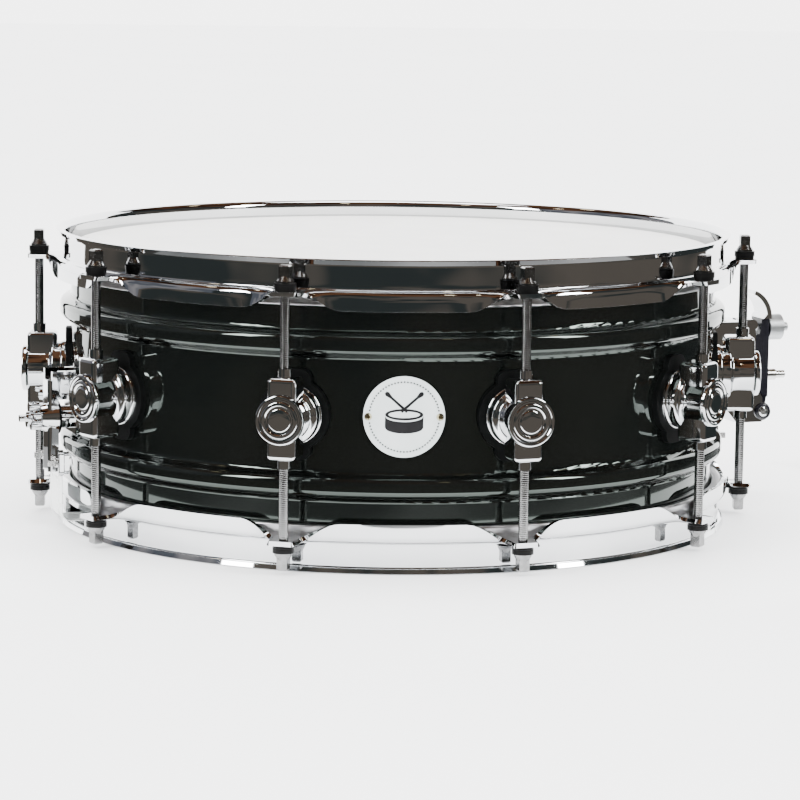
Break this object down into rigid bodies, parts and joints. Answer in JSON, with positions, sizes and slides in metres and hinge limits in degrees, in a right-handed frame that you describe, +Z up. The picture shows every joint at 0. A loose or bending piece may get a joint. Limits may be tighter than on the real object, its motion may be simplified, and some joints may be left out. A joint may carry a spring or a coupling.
{
  "type": "snare drum",
  "caption": "Metal snare drum with round turret lugs, triple-flanged hoops, key tension rods, a lever throw-off, an adjustable butt plate and coiled snare wires under the lower head.",
  "frame": {"origin": "on the drum's axis, on the plane of the snare-side hoop's crest, which is the plane it stands on", "axes": "+Z up along the drum axis to the batter side, -Y towards the badge, +X towards the throw-off side"},
  "size_m": [0.4332, 0.3932, 0.158],
  "materials": {
    "shell_black_nickel": "black-nickel mirror plating over rolled brass",
    "chrome": "polished chrome plating",
    "rod_chrome": "bright chrome on threaded steel",
    "badge": "pale silver-grey print on metal",
    "badge_brass": "polished",
    "coated_film": "sprayed white coating, fine grain",
    "clear_film": "thin hazy clear film",
    "aluminium_ring": "plain rolled",
    "rubber": "matt black",
    "black_nylon": "satin black",
    "black_washer": "black oxide",
    "zinc_steel": "bright zinc",
    "lever_black": "gloss black",
    "satin_grey": "satin",
    "snare_steel": "bright drawn wire",
    "strap_plastic": "clear polyester strip"
  },
  "bodies": {
    "drum": {"badge_plate": "badge", "badge_screws": "badge_brass", "batter_film": "coated_film", "batter_flesh_hoop": "aluminium_ring", "batter_hoop": "chrome", "butt_gasket": "rubber", "butt_housing": "chrome", "butt_seal": "rubber", "lever_pivot_pin": "zinc_steel", "lug_gaskets": "rubber", "lug_housings": "chrome", "lug_inserts": "chrome", "lug_screws": "zinc_steel", "magnet_catch": "chrome", "plate_mount_screws": "zinc_steel", "rod_bushes": "black_nylon", "rod_washers": "black_washer", "shell": "shell_black_nickel", "snare_side_film": "clear_film", "snare_side_flesh_hoop": "aluminium_ring", "snare_side_hoop": "chrome", "strainer_gasket": "rubber", "strainer_housing": "chrome", "vent_grommet": "chrome"},
    "batter_rod_01": {"batter_rod_01": "rod_chrome"},
    "batter_rod_02": {"batter_rod_02": "rod_chrome"},
    "batter_rod_03": {"batter_rod_03": "rod_chrome"},
    "batter_rod_04": {"batter_rod_04": "rod_chrome"},
    "batter_rod_05": {"batter_rod_05": "rod_chrome"},
    "batter_rod_06": {"batter_rod_06": "rod_chrome"},
    "batter_rod_07": {"batter_rod_07": "rod_chrome"},
    "batter_rod_08": {"batter_rod_08": "rod_chrome"},
    "batter_rod_09": {"batter_rod_09": "rod_chrome"},
    "batter_rod_10": {"batter_rod_10": "rod_chrome"},
    "snare_side_rod_01": {"snare_side_rod_01": "rod_chrome"},
    "snare_side_rod_02": {"snare_side_rod_02": "rod_chrome"},
    "snare_side_rod_03": {"snare_side_rod_03": "rod_chrome"},
    "snare_side_rod_04": {"snare_side_rod_04": "rod_chrome"},
    "snare_side_rod_05": {"snare_side_rod_05": "rod_chrome"},
    "snare_side_rod_06": {"snare_side_rod_06": "rod_chrome"},
    "snare_side_rod_07": {"snare_side_rod_07": "rod_chrome"},
    "snare_side_rod_08": {"snare_side_rod_08": "rod_chrome"},
    "snare_side_rod_09": {"snare_side_rod_09": "rod_chrome"},
    "snare_side_rod_10": {"snare_side_rod_10": "rod_chrome"},
    "lever": {"lever_arm": "lever_black", "lever_handle": "chrome", "lever_set_screw": "zinc_steel"},
    "tension_knob": {"fine_tension_knob": "satin_grey"},
    "carriage": {"strainer_carriage": "zinc_steel"},
    "strap_clamp": {"strap_jaw": "chrome", "strap_clamp_plate": "chrome", "strap_clamp_screws": "zinc_steel"},
    "butt_clamp": {"butt_slide": "chrome", "butt_clamp_plate": "chrome", "butt_clamp_screws": "zinc_steel"},
    "selector": {"butt_selector": "chrome"},
    "snares": {"snare_wires": "snare_steel", "snare_end_plates": "snare_steel", "strainer_strap": "strap_plastic", "butt_strap": "strap_plastic"}
  },
  "joints": [
    {"name": "batter_rod_01_turn", "type": "hinge", "parent": "drum", "child": "batter_rod_01", "pos_m": [-0.05983, -0.18413, 0.129], "axis": [0, 0, 1], "continuous": true},
    {"name": "batter_rod_02_turn", "type": "hinge", "parent": "drum", "child": "batter_rod_02", "pos_m": [0.05983, -0.18413, 0.129], "axis": [0, 0, 1], "continuous": true},
    {"name": "batter_rod_03_turn", "type": "hinge", "parent": "drum", "child": "batter_rod_03", "pos_m": [0.15663, -0.11379, 0.129], "axis": [0, 0, 1], "continuous": true},
    {"name": "batter_rod_04_turn", "type": "hinge", "parent": "drum", "child": "batter_rod_04", "pos_m": [0.1936, 0, 0.129], "axis": [0, 0, 1], "continuous": true},
    {"name": "batter_rod_05_turn", "type": "hinge", "parent": "drum", "child": "batter_rod_05", "pos_m": [0.15663, 0.11379, 0.129], "axis": [0, 0, 1], "continuous": true},
    {"name": "batter_rod_06_turn", "type": "hinge", "parent": "drum", "child": "batter_rod_06", "pos_m": [0.05983, 0.18413, 0.129], "axis": [0, 0, 1], "continuous": true},
    {"name": "batter_rod_07_turn", "type": "hinge", "parent": "drum", "child": "batter_rod_07", "pos_m": [-0.05983, 0.18413, 0.129], "axis": [0, 0, 1], "continuous": true},
    {"name": "batter_rod_08_turn", "type": "hinge", "parent": "drum", "child": "batter_rod_08", "pos_m": [-0.15663, 0.11379, 0.129], "axis": [0, 0, 1], "continuous": true},
    {"name": "batter_rod_09_turn", "type": "hinge", "parent": "drum", "child": "batter_rod_09", "pos_m": [-0.1936, 0, 0.129], "axis": [0, 0, 1], "continuous": true},
    {"name": "batter_rod_10_turn", "type": "hinge", "parent": "drum", "child": "batter_rod_10", "pos_m": [-0.15663, -0.11379, 0.129], "axis": [0, 0, 1], "continuous": true},
    {"name": "snare_side_rod_01_turn", "type": "hinge", "parent": "drum", "child": "snare_side_rod_01", "pos_m": [-0.05983, -0.18413, 0.029], "axis": [0, 0, 1], "continuous": true},
    {"name": "snare_side_rod_02_turn", "type": "hinge", "parent": "drum", "child": "snare_side_rod_02", "pos_m": [0.05983, -0.18413, 0.029], "axis": [0, 0, 1], "continuous": true},
    {"name": "snare_side_rod_03_turn", "type": "hinge", "parent": "drum", "child": "snare_side_rod_03", "pos_m": [0.15663, -0.11379, 0.029], "axis": [0, 0, 1], "continuous": true},
    {"name": "snare_side_rod_04_turn", "type": "hinge", "parent": "drum", "child": "snare_side_rod_04", "pos_m": [0.1936, 0, 0.029], "axis": [0, 0, 1], "continuous": true},
    {"name": "snare_side_rod_05_turn", "type": "hinge", "parent": "drum", "child": "snare_side_rod_05", "pos_m": [0.15663, 0.11379, 0.029], "axis": [0, 0, 1], "continuous": true},
    {"name": "snare_side_rod_06_turn", "type": "hinge", "parent": "drum", "child": "snare_side_rod_06", "pos_m": [0.05983, 0.18413, 0.029], "axis": [0, 0, 1], "continuous": true},
    {"name": "snare_side_rod_07_turn", "type": "hinge", "parent": "drum", "child": "snare_side_rod_07", "pos_m": [-0.05983, 0.18413, 0.029], "axis": [0, 0, 1], "continuous": true},
    {"name": "snare_side_rod_08_turn", "type": "hinge", "parent": "drum", "child": "snare_side_rod_08", "pos_m": [-0.15663, 0.11379, 0.029], "axis": [0, 0, 1], "continuous": true},
    {"name": "snare_side_rod_09_turn", "type": "hinge", "parent": "drum", "child": "snare_side_rod_09", "pos_m": [-0.1936, 0, 0.029], "axis": [0, 0, 1], "continuous": true},
    {"name": "snare_side_rod_10_turn", "type": "hinge", "parent": "drum", "child": "snare_side_rod_10", "pos_m": [-0.15663, -0.11379, 0.029], "axis": [0, 0, 1], "continuous": true},
    {"name": "lever_hinge", "type": "hinge", "parent": "drum", "child": "lever", "pos_m": [0.21113, 0.0686, 0.049], "axis": [-0.309, 0.9511, 0], "range_deg": [0, 95]},
    {"name": "tension_knob_turn", "type": "hinge", "parent": "lever", "child": "tension_knob", "pos_m": [0.21874, 0.07107, 0.0962], "axis": [0.9511, 0.309, 0], "range_deg": [-727, 727]},
    {"name": "carriage_slide", "type": "slide", "parent": "drum", "child": "carriage", "axis": [0, 0, -1], "range_m": [0, 0.00602]},
    {"name": "strap_clamp_slide", "type": "slide", "parent": "carriage", "child": "strap_clamp", "axis": [0, 0, 1], "range_m": [-0.0014, 0.0014], "deforming": ["strainer_strap"]},
    {"name": "selector_turn", "type": "hinge", "parent": "drum", "child": "selector", "pos_m": [-0.19021, -0.0618, 0.0605], "axis": [-0.9511, -0.309, 0], "range_deg": [-60.7, 60.7]},
    {"name": "butt_clamp_slide", "type": "slide", "parent": "drum", "child": "butt_clamp", "axis": [0, 0, 1], "range_m": [-0.0015, 0.0015], "deforming": ["butt_strap"]},
    {"name": "wires_drop", "type": "slide", "parent": "drum", "child": "snares", "axis": [0, 0, -1], "range_m": [0, 0.00202]}
  ],
  "couplings": [
    {"joint": "carriage_slide", "follows": "lever_hinge", "m_per_rad": 0.0036187},
    {"joint": "wires_drop", "follows": "lever_hinge", "m_per_rad": 0.0012062},
    {"joint": "tension_knob_turn", "follows": "strap_clamp_slide", "rad_per_m": 8976},
    {"joint": "selector_turn", "follows": "butt_clamp_slide", "rad_per_m": 698.13}
  ]
}
